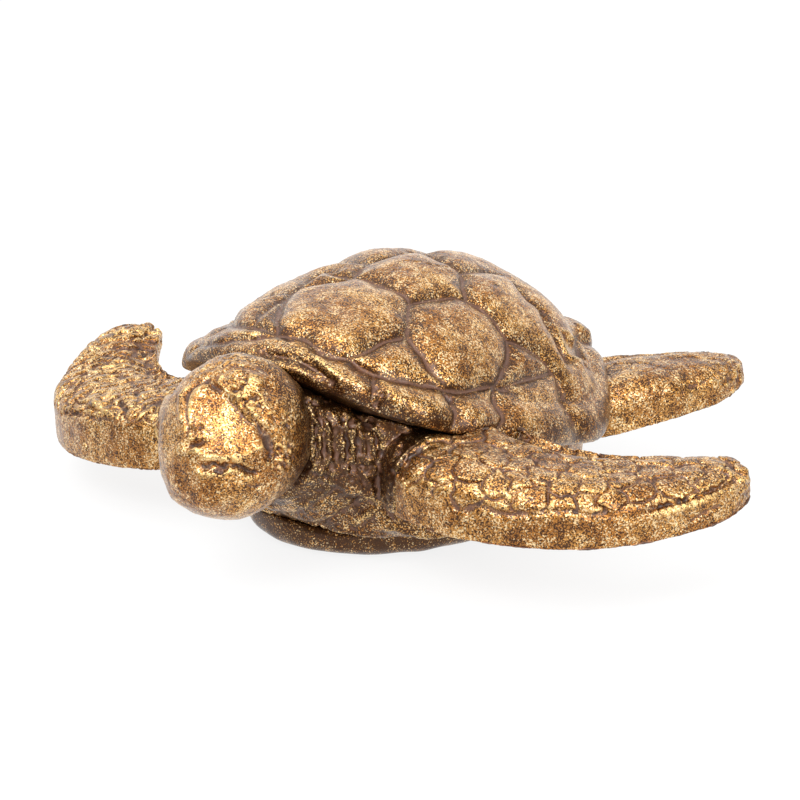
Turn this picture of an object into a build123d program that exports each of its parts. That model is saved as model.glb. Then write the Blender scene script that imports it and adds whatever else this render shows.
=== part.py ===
from build123d import *
from math import cos, sin, radians
import os

# A sea turtle figurine, cast in resin as separate pieces that are pinned and glued together.
# Millimetres. The head points to -Y, the turtle's left side is +X and up is +Z.
# The origin is the middle of the felt pad's underside, on the surface that the figurine rests on.

# Shell
shell_length = 150.5
shell_width = 122.5
shell_crown = 82.0
shell_front = 71.75
shell_wall = 6.0
groove_width = 1.8
groove_depth = 1.6

# Trunk and what the shell's rim hangs over it and sits on
side_overhang = 8.75
front_overhang = 14.0
rear_overhang = 15.5
seat_width = 5.25
trunk_deck = 6.0
cavity_length = 84.0
cavity_width = 60.0
register_height = 4.0

# Neck and tail, cast with the trunk
neck_length = 42.0
neck_bury = 26.25
neck_width = 84.0
neck_height = 46.0
tail_length = 42.0
tail_bury = 10.75
tail_width = 21.0
tail_height = 26.0

# Head
head_length = 37.2
head_width = 42.0
head_depth = 43.8
head_lift = 2.7
spigot_radius = 6.5
spigot_length = 8.0
eye_radius = 3.4
nostril_radius = 1.3
mouth_drop = 2.2
mouth_height = 1.4
mouth_depth = 2.0
mouth_reach = 14.0

# Front flippers: the root's place in the trunk, the span outward from it, and the way along the
# limb to the joint between the shoulder that is cast with the trunk and the flipper itself
front_span = 93.0
front_chord = 43.8
front_thickness = 24.5
front_bury = 24.5
front_setback = 22.65
front_height = 35.1
front_shoulder = 22.0

# Rear flippers
rear_span = 43.7
rear_chord = 29.8
rear_thickness = 20.2
rear_bury = 27.9
rear_setback = 24.75
rear_height = 23.2
rear_shoulder = 15.5

# Seams between the scales on the front flippers
scale_seam_width = 1.3
scale_seam_depth = 0.9

# How far a seam's cutter stands out of the surface
groove_clearance = 6.0

# Base plate and felt
plate_length = 118.0
plate_width = 93.0
plate_thickness = 9.5
plate_rounding = 5.0
plate_edge = 2.5
plate_spigot = 4.0
pad_length = 80.0
pad_width = 60.0
pad_thickness = 1.5
pad_recess = 0.5

# Steel dowels
dowel_diameter = 4.0
head_dowel_length = 28.0
front_dowel_length = 34.0
rear_dowel_length = 26.0

# Fits
glue_gap = 0.15
fit_gap = 0.25
dowel_gap = 0.1
overrun = 2.0

# Along, half width, rim height, crown height and fullness. Heights are shares of the crown.
shell_shares = [
    (0.0, 0.13, 0.75, 0.80, 1.0),
    (0.023, 0.41, 0.72, 0.845, 0.95),
    (0.081, 0.686, 0.64, 0.90, 0.88),
    (0.186, 0.871, 0.55, 0.947, 0.84),
    (0.36, 0.986, 0.445, 0.99, 0.84),
    (0.523, 1.0, 0.36, 1.0, 0.82),
    (0.686, 0.92, 0.32, 0.92, 0.76),
    (0.814, 0.70, 0.406, 0.77, 0.72),
    (0.907, 0.50, 0.47, 0.642, 0.70),
    (0.977, 0.285, 0.49, 0.556, 0.70),
    (1.0, 0.115, 0.50, 0.535, 0.70),
]
hollow_rows = slice(3, 8)
leg_share = 0.5

# Along, half width, bottom and top. Heights are shares of the shell's crown.
trunk_shares = [
    (0.0, 0.433, 0.02, 0.834),
    (0.058, 0.767, -0.06, 0.896),
    (0.217, 0.95, -0.10, 0.896),
    (0.478, 1.0, -0.10, 0.789),
    (0.739, 0.90, -0.07, 0.705),
    (0.884, 0.633, 0.04, 0.683),
    (1.0, 0.367, 0.18, 0.64),
]

# Along, sideways, centre height, half width, rise above the centre and drop below it.
neck_shares = [
    (0.0, 0.0, 0.80, 0.50, 0.343, 0.648),
    (0.33, 0.0, 0.838, 0.479, 0.343, 0.667),
    (0.625, 0.01, 0.895, 0.385, 0.314, 0.648),
    (0.833, 0.02, 0.952, 0.292, 0.343, 0.571),
    (1.0, 0.036, 1.0, 0.229, 0.371, 0.476),
]
tail_shares = [
    (0.0, 0.0, 1.0, 0.50, 0.30, 0.27),
    (0.5, 0.0, 0.97, 0.38, 0.24, 0.20),
    (0.9, 0.0, 0.92, 0.21, 0.14, 0.13),
    (1.0, 0.0, 0.91, 0.10, 0.07, 0.07),
]

# As for the neck, but with the centre as an offset from the seat on the neck.
head_shares = [
    (0.0, 0.0, 0.0, 0.4375, 0.40, 0.44),
    (0.188, 0.01, -0.011, 0.483, 0.50, 0.484),
    (0.47, 0.007, -0.05, 0.50, 0.50, 0.50),
    (0.66, 0.007, -0.087, 0.448, 0.45, 0.46),
    (0.824, 0.017, -0.112, 0.365, 0.36, 0.37),
    (0.953, 0.047, -0.142, 0.229, 0.22, 0.24),
    (1.0, 0.057, -0.151, 0.125, 0.12, 0.13),
]

# Outward, backward and up from the root as shares of the span, then half chord as a share of the
# chord, and rise and drop as shares of the thickness.
left_front_shares = [
    (0.0, 0.0, 0.0, 0.30, 0.34, 0.38),
    (0.114, -0.028, -0.005, 0.45, 0.50, 0.56),
    (0.358, -0.094, -0.019, 0.50, 0.48, 0.54),
    (0.585, -0.065, -0.029, 0.44, 0.43, 0.43),
    (0.812, 0.095, -0.038, 0.35, 0.39, 0.35),
    (0.963, 0.292, -0.024, 0.26, 0.32, 0.29),
    (1.0, 0.396, -0.019, 0.15, 0.24, 0.20),
]
right_front_shares = [
    (0.0, -0.013, -0.019, 0.30, 0.34, 0.38),
    (0.114, -0.046, -0.038, 0.45, 0.50, 0.54),
    (0.358, -0.113, -0.085, 0.50, 0.47, 0.52),
    (0.585, -0.094, -0.117, 0.46, 0.44, 0.48),
    (0.82, 0.075, -0.113, 0.39, 0.40, 0.42),
    (0.944, 0.292, -0.059, 0.28, 0.34, 0.34),
    (0.971, 0.433, -0.038, 0.15, 0.24, 0.21),
]
rear_shares = [
    (0.0, 0.0, 0.0, 0.30, 0.34, 0.34),
    (0.197, 0.20, 0.064, 0.47, 0.42, 0.44),
    (0.479, 0.481, 0.156, 0.50, 0.46, 0.48),
    (0.74, 0.843, 0.19, 0.42, 0.40, 0.39),
    (0.921, 1.143, 0.22, 0.31, 0.31, 0.30),
    (1.0, 1.283, 0.229, 0.17, 0.21, 0.20),
]

# Seams between the scutes of one side: across the shell from the middle to the rim, and along it.
seam_shares = [
    [(0.29, 0.08), (0.26, 0.24), (0.135, 0.32), (0.165, 0.42), (0.135, 0.55), (0.17, 0.66),
     (0.13, 0.77), (0.14, 0.87)],
    [(0.0, 0.06), (0.29, 0.08), (0.44, 0.11), (0.55, 0.22), (0.56, 0.36), (0.62, 0.46),
     (0.62, 0.58), (0.58, 0.70), (0.48, 0.81), (0.14, 0.87), (0.0, 0.87)],
    [(0.26, 0.24), (0.55, 0.22)],
    [(0.165, 0.42), (0.40, 0.45), (0.56, 0.36)],
    [(0.40, 0.45), (0.62, 0.58)],
    [(0.17, 0.66), (0.58, 0.70)],
    [(0.135, 0.32), (-0.135, 0.32)],
    [(0.135, 0.55), (-0.135, 0.55)],
    [(0.13, 0.77), (-0.13, 0.77)],
    [(0.44, 0.11), (0.90, 0.10)],
    [(0.55, 0.22), (0.94, 0.22)],
    [(0.56, 0.36), (0.95, 0.37)],
    [(0.62, 0.46), (0.95, 0.47)],
    [(0.62, 0.58), (0.95, 0.60)],
    [(0.58, 0.70), (0.95, 0.72)],
]
seam_lean_share = 0.08
heart_share = 0.5

# Seams between the scales of a front flipper: outward along the span, and across the chord, from -1
# at the rear edge to 1 at the front one. The front edge itself is a smooth band.
scale_shares = [
    [(0.27, 0.60), (0.33, 0.64), (0.46, 0.58), (0.59, 0.65), (0.72, 0.58), (0.85, 0.60),
     (0.93, 0.50)],
    [(0.27, 0.05), (0.33, 0.10), (0.40, 0.0), (0.46, 0.10), (0.53, 0.0), (0.59, 0.10), (0.66, 0.0),
     (0.72, 0.10), (0.79, 0.0), (0.85, 0.10), (0.92, 0.05)],
    [(0.27, -0.50), (0.34, -0.45), (0.40, -0.55), (0.53, -0.48), (0.66, -0.53), (0.79, -0.47),
     (0.88, -0.45)],
    [(0.33, 0.64), (0.33, 0.10)],
    [(0.46, 0.58), (0.46, 0.10)],
    [(0.59, 0.65), (0.59, 0.10)],
    [(0.72, 0.58), (0.72, 0.10)],
    [(0.85, 0.60), (0.85, 0.10)],
    [(0.40, 0.0), (0.40, -0.55)],
    [(0.53, 0.0), (0.53, -0.48)],
    [(0.66, 0.0), (0.66, -0.53)],
    [(0.79, 0.0), (0.79, -0.47)],
    [(0.34, -0.45), (0.33, -0.85)],
    [(0.53, -0.48), (0.53, -0.85)],
    [(0.72, -0.50), (0.72, -0.85)],
]
scale_lean_share = 0.7

# Places on the head, measured from its seat: sideways, forward and up.
eye_shares = [(0.302, 0.59, 0.306), (-0.206, 0.71, 0.304)]
nostril_shares = [(0.135, 0.894, 0.127), (0.052, 0.94, 0.087)]

# The section curves are superellipses with these powers.
flank_power = 2.3
section_power = 2.4

# Places that several pieces share
up = Vector(0, 0, 1)
left = Vector(1, 0, 0)
forward = Vector(0, -1, 0)
trunk_width = shell_width - 2 * side_overhang
trunk_length = shell_length - front_overhang - rear_overhang
trunk_front = front_overhang - shell_front
trunk_rear = trunk_front + trunk_length
plate_bottom = pad_thickness - pad_recess
plate_top = plate_bottom + plate_thickness
neck_root = trunk_front + neck_bury
neck_end = neck_root - neck_length
head_seat = Vector(neck_shares[-1][1] * neck_width, neck_end, neck_height + head_lift)
front_root = Vector(trunk_width / 2 - front_bury, trunk_front + front_setback, front_height)
rear_root = Vector(trunk_width / 2 - rear_bury, trunk_rear - rear_setback, rear_height)
front_size = (front_span, front_chord, front_thickness, front_shoulder, front_dowel_length)
rear_size = (rear_span, rear_chord, rear_thickness, rear_shoulder, rear_dowel_length)
limbs = {
    "front_flipper_left": (left_front_shares, front_root, front_size, 1),
    "front_flipper_right": (right_front_shares, front_root, front_size, -1),
    "rear_flipper_left": (rear_shares, rear_root, rear_size, 1),
    "rear_flipper_right": (rear_shares, rear_root, rear_size, -1),
}


def oval(length, width, height, base):
    """An upright oval block, with its middle over the origin."""
    return Pos(0, 0, base) * extrude(Ellipse(width / 2, length / 2), amount=height)


def rod(place, direction, radius, length):
    """A round bar that starts at a place."""
    return Solid.make_cylinder(radius, length, Plane(origin=place, z_dir=direction))


def arch(centre, side, rise_dir, half, rise):
    """Half of a superellipse, from one side over the top to the other."""
    points = []
    for turn in range(0, 181, 30):
        across, along = cos(radians(turn)), sin(radians(turn))
        reach = half * abs(across) ** (2 / section_power) * (1 if turn < 90 else -1)
        points.append(centre + side * reach + rise_dir * rise * max(along, 0) ** (2 / section_power))
    return Spline(*points, tangents=[rise_dir, rise_dir * -1])


def ring(centre, side, half, rise, drop):
    """A closed upright section, with its own rise above the centre and drop below it."""
    return Wire([arch(centre, side, up, half, rise), arch(centre, side * -1, up * -1, half, drop)])


def ring_loft(shares, start, heading, sizes, grow=0.0):
    """A body of rings that follow each other along Y. The sizes are its length, width and depth."""
    length, width, depth = sizes
    rings = []
    for along, sideways, height, half, rise, drop in shares:
        place = start + heading * length * along + left * sideways * width + up * height * depth
        rings.append(ring(place, left, half * width + grow, rise * depth + grow, drop * depth + grow))
    return Solid.make_loft(rings)


def dome(inset=0.0, side_inset=0.0, rows=slice(None)):
    """The domed shell as a solid that runs on below its rim."""
    sections = []
    for along, half_share, rim, crown, fullness in shell_shares[rows]:
        y = inset - shell_front + (shell_length - 2 * inset) * along
        half = shell_width / 2 * half_share - max(inset, side_inset)
        low = shell_crown * rim
        high = shell_crown * crown - inset
        points = []
        for step in range(-4, 5):
            across = sin(radians(90) * step / 4)
            lift = max(1 - abs(across) ** flank_power, 0) ** fullness
            points.append(Vector(half * across, y, low + (high - low) * lift))
        leg = up * low * leg_share
        over = Spline(*points, tangents=[up, up * -1])
        base = Polyline(points[-1], points[-1] - leg, points[0] - leg, points[0])
        sections.append(Wire([over, *base.edges()]))
    return Solid.make_loft(sections)


def rim_block(shift, upward):
    """Everything above, or below, the wavy parting line between the shell and the trunk."""
    side = -shell_width
    line = [Vector(side, shell_length * row[0] - shell_front, shell_crown * row[2] + shift)
            for row in shell_shares]
    run_out = Vector(0, 0 if upward else shell_width, 0)
    far = up * (2 * shell_crown if upward else -2 * shell_crown)
    start, end = line[0] - run_out, line[-1] + run_out
    edges = [Spline(*line), *Polyline(start, start + far, end + far, end).edges()]
    if not upward:
        edges += [Line(start, line[0]), Line(line[-1], end)]
    return extrude(Face(Wire(edges)), amount=2 * shell_width, dir=left)


def row_at(along):
    """The shell's row at a place between the rows of its table."""
    for low, high in zip(shell_shares, shell_shares[1:]):
        if along <= high[0]:
            part = (along - low[0]) / (high[0] - low[0])
            return [a + (b - a) * part for a, b in zip(low, high)]


def shell_point(skin, across, along):
    """Where a seam's end lies on the outer surface, and the way out of the shell there."""
    lean = sin(radians(90) * (across + seam_lean_share * (1 - across * across)))
    place, half_share, rim, crown, fullness = row_at(along)
    low = shell_crown * rim
    y = shell_length * place - shell_front
    lift = max(1 - abs(lean) ** flank_power, 0) ** fullness
    guess = Vector(shell_width / 2 * half_share * lean, y, low + (shell_crown * crown - low) * lift)
    heart = Vector(0, y, low) * heart_share
    out = (guess - heart).normalized()
    hits = [hit[0] for hit in skin.find_intersection_points(Axis(heart, out))]
    return max(hits, key=lambda point: (point - heart).dot(out)), out


def groove(start, end, width, depth):
    """A straight cutter along one seam, square to the surface. Each end is a place and the way out."""
    (first, out_a), (last, out_b) = start, end
    run = last - first
    side = run.cross(out_a + out_b).normalized()
    height = depth + groove_clearance
    middle = (first + last) / 2 + side.cross(run).normalized() * (height / 2 - depth)
    frame = Plane(origin=middle, x_dir=run, z_dir=side)
    return frame * Box(run.length + width, height, width)


def seam_pairs():
    """Every straight stretch of the seam network, on both sides."""
    pairs = set()
    for line in seam_shares:
        for start, end in zip(line, line[1:]):
            mirrored = (-end[0], end[1]), (-start[0], start[1])
            pairs.add((start, end))
            pairs.add((start, end) if mirrored == (start, end) else mirrored)
    return sorted(pairs)


def carapace():
    """The domed shell, hollow, with the seams between its scutes."""
    skin = dome()
    shell = skin - rim_block(0, upward=False)
    shell -= dome(shell_wall, side_overhang + seat_width, hollow_rows)
    ends = [(shell_point(skin, *start), shell_point(skin, *end)) for start, end in seam_pairs()]
    return shell.cut(*[groove(start, end, groove_width, groove_depth) for start, end in ends])


def trunk():
    rings = []
    for along, half, bottom, top in trunk_shares:
        rise = shell_crown * (top - bottom) / 2
        place = Vector(0, trunk_front + trunk_length * along, shell_crown * bottom + rise)
        rings.append(ring(place, left, half * trunk_width / 2, rise, rise))
    return Solid.make_loft(rings)


def neck():
    start = Vector(0, neck_root, 0)
    return ring_loft(neck_shares, start, forward, (neck_length, neck_width, neck_height))


def tail():
    start = Vector(0, trunk_rear - tail_bury, 0)
    return ring_loft(tail_shares, start, forward * -1, (tail_length, tail_width, tail_height))


def register():
    """The low boss on the trunk's deck that the shell drops over."""
    boss = dome(shell_wall + glue_gap, side_overhang + seat_width + glue_gap, hollow_rows)
    return boss - rim_block(register_height, upward=True) - rim_block(-trunk_deck / 2, upward=False)


def limb_path(shares, root, span, mirror):
    return [Vector((root.X + row[0] * span) * mirror, root.Y + row[1] * span, root.Z + row[2] * span)
            for row in shares]


def limb(shares, root, size, mirror):
    """A whole limb of upright rings, each square to its run in plan, relieved under the shell's rim."""
    span, chord, thickness = size[:3]
    path = limb_path(shares, root, span, mirror)
    rings = []
    for index, row in enumerate(shares):
        before, after = path[max(index - 1, 0)], path[min(index + 1, len(path) - 1)]
        heading = Vector(after.X - before.X, after.Y - before.Y, 0).normalized()
        side = heading.cross(up) * mirror
        rings.append(ring(path[index], side, row[3] * chord, row[4] * thickness, row[5] * thickness))
    return Solid.make_loft(rings) - rim_room


def limb_point(form, values, outward, across):
    """Where a seam's end lies on a limb's upper skin, and the way out of the skin there."""
    shares, root, size, mirror = values
    path = limb_path(shares, root, size[0], mirror)
    index = max(i for i, row in enumerate(shares[:-1]) if row[0] <= outward)
    part = (outward - shares[index][0]) / (shares[index + 1][0] - shares[index][0])
    run = path[index + 1] - path[index]
    half = size[1] * (shares[index][3] + part * (shares[index + 1][3] - shares[index][3]))
    side = Vector(run.X, run.Y, 0).normalized().cross(up) * mirror
    place = path[index] + run * part + side * half * across
    sky = Axis(place + up * shell_crown, up * -1)
    hits = [hit[0] for hit in form.find_intersection_points(sky)]
    out = up + side * across * scale_lean_share
    return max(hits, key=lambda point: point.Z), out.normalized()


def joint(shares, root, size, mirror):
    """The middle of the flat joint across a limb, with the way out along the limb."""
    span, shoulder = size[0], size[3]
    path = limb_path(shares, root, span, mirror)
    heading = (path[2] - path[0]).normalized()
    return path[0] + heading * shoulder, heading


def beyond(place, heading, shift):
    """Everything that lies further out than a joint."""
    return rod(place + heading * shift, heading, shell_length, 2 * shell_length)


def limb_dowel(shares, root, size, mirror, grow=0.0):
    """The steel pin across a limb's joint, or with grow the hole that it sits in."""
    place, heading = joint(shares, root, size, mirror)
    half = size[-1] / 2 + grow
    return rod(place - heading * half, heading, dowel_diameter / 2 + grow, 2 * half)


def head_dowel(grow=0.0):
    start = head_seat - forward * (head_dowel_length / 2 + grow)
    return rod(start, forward, dowel_diameter / 2 + grow, head_dowel_length + 2 * grow)


def body():
    """The trunk with the neck, the tail and four shoulders, hollow from below."""
    casting = trunk() + neck() + tail()
    casting -= rim_block(-glue_gap, upward=True)
    casting += register()
    casting -= oval(2 * shell_length, 2 * shell_length, plate_top + shell_crown, -shell_crown)
    for name, values in limbs.items():
        casting += limb_forms[name] - beyond(*joint(*values), -glue_gap)
        casting -= limb_dowel(*values, dowel_gap)
    hollow = oval(cavity_length, cavity_width, shell_crown, plate_top - overrun)
    casting -= hollow - rim_block(-trunk_deck, upward=True)
    casting -= rod(head_seat, forward * -1, spigot_radius + glue_gap, spigot_length + glue_gap)
    return casting - head_dowel(dowel_gap)


def head_form(shorter=0.0, grow=0.0):
    sizes = (head_length - shorter, head_width, head_depth)
    return ring_loft(head_shares, head_seat, forward, sizes, grow)


def head():
    """The head, with its spigot, eye pits, nostrils and mouth line."""
    form = head_form()
    form += rod(head_seat + forward * overrun, forward * -1, spigot_radius, spigot_length + overrun)
    for places, radius in ((eye_shares, eye_radius), (nostril_shares, nostril_radius)):
        for sideways, ahead, height in places:
            centre = head_seat + left * sideways * head_width + forward * ahead * head_length
            form -= Pos(*(centre + up * height * head_depth)) * Sphere(radius)
    lips = head_seat + forward * head_length - up * mouth_drop
    slot = Pos(*lips) * Box(2 * head_width, 2 * mouth_reach, mouth_height)
    form -= slot - head_form(mouth_depth, -mouth_depth)
    return form - head_dowel(dowel_gap)


def flipper(name):
    """A limb from its joint to its tip, with scales if it is a front one."""
    values, form = limbs[name], limb_forms[name]
    casting = (form & beyond(*joint(*values), 0)) - limb_dowel(*values, dowel_gap)
    if name.startswith("rear"):
        return casting
    cutters = []
    for line in scale_shares:
        ends = [limb_point(form, values, *place) for place in line]
        cutters += [groove(start, end, scale_seam_width, scale_seam_depth)
                    for start, end in zip(ends, ends[1:])]
    return casting.cut(*cutters)


def plastron():
    """The base plate, with a rounded rim, a spigot up into the trunk and a recess for the felt."""
    plate = oval(plate_length, plate_width, plate_thickness, plate_bottom)
    plate = fillet(plate.edges().sort_by(Axis.Z)[0], plate_rounding)
    plate = fillet(plate.edges().sort_by(Axis.Z)[-1], plate_edge)
    plate += oval(cavity_length - 2 * fit_gap, cavity_width - 2 * fit_gap, plate_spigot + overrun,
                  plate_top - overrun)
    return plate - oval(pad_length + 2 * fit_gap, pad_width + 2 * fit_gap, pad_recess + overrun,
                        plate_bottom - overrun)


rim_room = dome(-fit_gap) - rim_block(-fit_gap, upward=False)
limb_forms = {name: limb(*values) for name, values in limbs.items()}
nodes = {
    "carapace": carapace(),
    "body": body(),
    "plastron": plastron(),
    "felt_pad": oval(pad_length, pad_width, pad_thickness, 0),
    "head": head(),
    "head_dowel": head_dowel(),
}
for name, values in limbs.items():
    nodes[name] = flipper(name)
    nodes[name + "_dowel"] = limb_dowel(*values)

os.makedirs("parts", exist_ok=True)
for name, shape in nodes.items():
    shape.label = name
    export_step(shape, "parts/" + name + ".step")
    print(name, len(shape.solids()), "solids", round(shape.volume), "mm3", shape.bounding_box().size)
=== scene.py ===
# %% [markdown]
# # A gilded sea turtle figurine
# The real thing is a resin casting about 26 cm across, sold as a shelf ornament. It is cast in a few
# pieces that are pinned and glued, covered with metal leaf over a brown ground, antiqued and
# lacquered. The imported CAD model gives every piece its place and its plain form. This lesson carves
# the scutes, scales, folds and the face into those forms, and then paints the leaf.

# %% Load the plain model
from math import radians, sin, cos, pi

import bmesh
import bpy
import numpy as np
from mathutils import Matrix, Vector, kdtree
from mathutils.bvhtree import BVHTree


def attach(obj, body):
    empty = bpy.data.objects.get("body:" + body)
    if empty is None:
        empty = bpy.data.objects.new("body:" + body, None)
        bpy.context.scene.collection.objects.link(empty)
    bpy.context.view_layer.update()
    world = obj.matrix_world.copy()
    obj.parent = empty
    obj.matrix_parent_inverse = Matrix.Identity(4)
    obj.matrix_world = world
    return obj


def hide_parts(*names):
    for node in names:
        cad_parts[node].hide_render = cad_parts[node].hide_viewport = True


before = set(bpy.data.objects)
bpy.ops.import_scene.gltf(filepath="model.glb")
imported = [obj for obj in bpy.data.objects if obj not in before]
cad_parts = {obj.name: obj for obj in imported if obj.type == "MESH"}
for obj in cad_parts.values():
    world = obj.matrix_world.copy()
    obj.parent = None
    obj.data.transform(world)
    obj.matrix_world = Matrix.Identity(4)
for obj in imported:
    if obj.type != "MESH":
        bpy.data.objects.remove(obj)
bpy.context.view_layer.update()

mm = 0.001
print("nodes:", ", ".join(sorted(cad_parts)))

# %% [markdown]
# ## The camera
# The photograph looks down 18 degrees on the turtle, from 37 degrees to its left of the nose, with a
# long lens. The camera comes first, because the marks that only show in the photograph are placed
# through it: a named pixel becomes a ray, and the ray is followed until it meets the casting.

# %% Set up the camera
azimuth, elevation = radians(37), radians(18)
aim = Vector((0, 0, 0.04025))
distance = 0.7875
aim_pixel = (405, 382)
frame_pixels = 800
focal_pixels = 2448

back = Vector((sin(azimuth) * cos(elevation), -cos(azimuth) * cos(elevation), sin(elevation)))
lens = bpy.data.cameras.new("photo_camera")
lens.sensor_width = 36
lens.lens = focal_pixels / frame_pixels * lens.sensor_width
lens.shift_x = (frame_pixels / 2 - aim_pixel[0]) / frame_pixels
lens.shift_y = (aim_pixel[1] - frame_pixels / 2) / frame_pixels
camera = bpy.data.objects.new("photo_camera", lens)
camera.location = aim + back * distance
camera.rotation_mode = "QUATERNION"
camera.rotation_quaternion = (-back).to_track_quat("-Z", "Y")
bpy.context.scene.collection.objects.link(camera)
bpy.context.scene.camera = camera
print("camera", [round(value, 3) for value in camera.location], "lens", round(lens.lens, 1), "mm")


def sight(pixel):
    """The direction from the camera through a pixel of the photograph."""
    across = (pixel[0] - aim_pixel[0]) / focal_pixels
    down = (pixel[1] - aim_pixel[1]) / focal_pixels
    return (camera.rotation_quaternion @ Vector((across, -down, -1))).normalized()


def pixel_of(points):
    """Where in the photograph some points lie, given in millimetres."""
    turned = np.array(camera.rotation_quaternion.to_matrix())
    seen = (points - np.array(camera.location) / mm) @ turned
    return np.stack([aim_pixel[0] - focal_pixels * seen[:, 0] / seen[:, 2],
                     aim_pixel[1] + focal_pixels * seen[:, 1] / seen[:, 2]], axis=1)


# %% [markdown]
# ## Working on a casting
# A sculptor works in a soft material of even grain. The CAD solids have long thin triangles, so each
# one is first remeshed into small even facets. After that, every mark is the same kind of move: work
# out a height for each point, in millimetres, and push the point along its normal by it.

# %% Set the grains and the unevenness
# how fine each carved mesh is, in millimetres
grain_of = {"carapace": 0.55, "body": 0.66, "head": 0.34, "plastron": 0.6, "front_flipper_left": 0.34,
            "front_flipper_right": 0.34, "rear_flipper_left": 0.36, "rear_flipper_right": 0.36,
            "felt_pad": 0.5}
# the waves that make each casting look made by hand: height and size, in millimetres
waves_of = {"carapace": [(0.20, 24), (0.05, 6), (0.06, 2.0)], "body": [(0.16, 6), (0.12, 2.2)],
            "head": [(0.15, 9), (0.05, 2.2)], "plastron": [(0.12, 9)],
            "flippers": [(0.20, 14), (0.04, 3.5), (0.05, 1.6)]}

# %% Helpers that read, push and smooth a mesh
def rows_of(elements, field):
    """One field of a mesh's elements, as rows of three numbers."""
    rows = np.empty(len(elements) * 3, dtype=np.float32)
    elements.foreach_get(field, rows)
    return rows.reshape(-1, 3).astype(float)


def points_of(piece):
    """The points of a mesh, in millimetres."""
    return rows_of(piece.data.vertices, "co") / mm


def normals_of(piece):
    return rows_of(piece.data.vertex_normals, "vector")


def write(piece, points):
    """Put points, given in millimetres, back into a mesh."""
    piece.data.vertices.foreach_set("co", (points * mm).astype(np.float32).ravel())
    piece.data.update()


def push(piece, heights):
    """Move every point along its normal by its height."""
    write(piece, points_of(piece) + normals_of(piece) * np.asarray(heights)[:, None])


def edges_of(piece):
    """The edges of a mesh, each as the indices of its two points."""
    pairs = np.empty(len(piece.data.edges) * 2, dtype=np.int32)
    piece.data.edges.foreach_get("vertices", pairs)
    return pairs.reshape(-1, 2)


def relaxed(values, pairs, rounds):
    """Values averaged with those of their neighbours, a few times over."""
    values = np.array(values, dtype=float)
    flat = values.ndim == 1
    values = values[:, None] if flat else values
    first, second = pairs[:, 0], pairs[:, 1]
    count = np.bincount(first, minlength=len(values)) + np.bincount(second, minlength=len(values))
    for _ in range(rounds):
        for column in range(values.shape[1]):
            row = values[:, column]
            total = np.bincount(first, row[second], len(row)) + np.bincount(second, row[first], len(row))
            values[:, column] = (row + total / np.maximum(count, 1)) / 2
    return values[:, 0] if flat else values


def even(source, name, grain, rounds=3):
    """A new piece with the form of the source, in even facets of one grain size in millimetres."""
    piece = bpy.data.objects.new(name, source.data.copy())
    bpy.context.scene.collection.objects.link(piece)
    remesh = piece.modifiers.new("even_facets", "REMESH")
    remesh.mode = "VOXEL"
    remesh.voxel_size = grain * mm
    graph = bpy.context.evaluated_depsgraph_get()
    mesh = bpy.data.meshes.new_from_object(piece.evaluated_get(graph))
    piece.modifiers.clear()
    piece.data = mesh
    mesh.name = name
    mesh.materials.clear()
    write(piece, relaxed(points_of(piece), edges_of(piece), rounds))
    mesh.polygons.foreach_set("use_smooth", [True] * len(mesh.polygons))
    print(name, len(mesh.polygons), "faces of", grain, "mm")
    return piece


def filled(source, name, grain, reach=2.0):
    """As even, but with narrow seams and folds closed: the form is swollen, remeshed and shrunk again."""
    swollen = even(source, name + "_swollen", grain, rounds=1)
    write(swollen, points_of(swollen) + reach * normals_of(swollen))
    piece = even(swollen, name, grain, rounds=1)
    bpy.data.objects.remove(swollen)
    out = relaxed(normals_of(piece), edges_of(piece), 2)
    write(piece, relaxed(points_of(piece) - reach * out, edges_of(piece), 6))
    return piece


def piece_from(form, name, grain, rounds=3):
    """A new piece from a closed bmesh form, in even facets. The form itself is freed."""
    bmesh.ops.recalc_face_normals(form, faces=form.faces)
    blank = bpy.data.objects.new(name + "_blank", bpy.data.meshes.new(name + "_blank"))
    form.to_mesh(blank.data)
    form.free()
    piece = even(blank, name, grain, rounds)
    bpy.data.objects.remove(blank)
    return piece


# %% Helpers for soft edges
def fading(gap, width):
    """1 where the gap is nothing, and softly down to about 0 at twice the width."""
    return np.exp(-(gap / width) ** 2)


def from_to(values, low, high):
    """0 below the low value, 1 above the high one and even steps between. High may be the lesser."""
    return np.clip((values - low) / (high - low), 0, 1)


# %% [markdown]
# ## Lines on the skin
# Seams, folds and cracks are lines on the surface. A line is given by a few points and rounded by a
# spline. The distance from a point of the mesh to the line decides how deep the mark is there.

# %% Helpers for lines
def rounded(line, steps=6):
    """A smooth curve through the points, by the Catmull-Rom rule."""
    line = [np.array(point, dtype=float) for point in line]
    ends = [2 * line[0] - line[1]] + line + [2 * line[-1] - line[-2]]
    curve = []
    for a, b, c, d in zip(ends, ends[1:], ends[2:], ends[3:]):
        for step in range(steps):
            t = step / steps
            curve.append(0.5 * (2 * b + (c - a) * t + (2 * a - 5 * b + 4 * c - d) * t * t
                                + (3 * b - a - 3 * c + d) * t ** 3))
    return np.array(curve + [line[-1]])


def away_from(points, line, reach=15):
    """For each point, its distance to a line and how far along the line it lies, from 0 to 1.

    Points outside the line's own box, widened by the reach, count as endlessly far away.
    """
    best = np.full(len(points), np.inf)
    along = np.zeros(len(points))
    low, high = line.min(axis=0) - reach, line.max(axis=0) + reach
    near = np.flatnonzero(((points > low) & (points < high)).all(axis=1))
    close, place = best[near], along[near]
    for index, (start, end) in enumerate(zip(line, line[1:])):
        run = end - start
        share = np.clip((points[near] - start) @ run / max(run @ run, 1e-9), 0, 1)
        gap = np.linalg.norm(points[near] - start - share[:, None] * run, axis=1)
        nearer = gap < close
        close = np.where(nearer, gap, close)
        place = np.where(nearer, (index + share) / (len(line) - 1), place)
    best[near], along[near] = close, place
    return best, along


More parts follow.
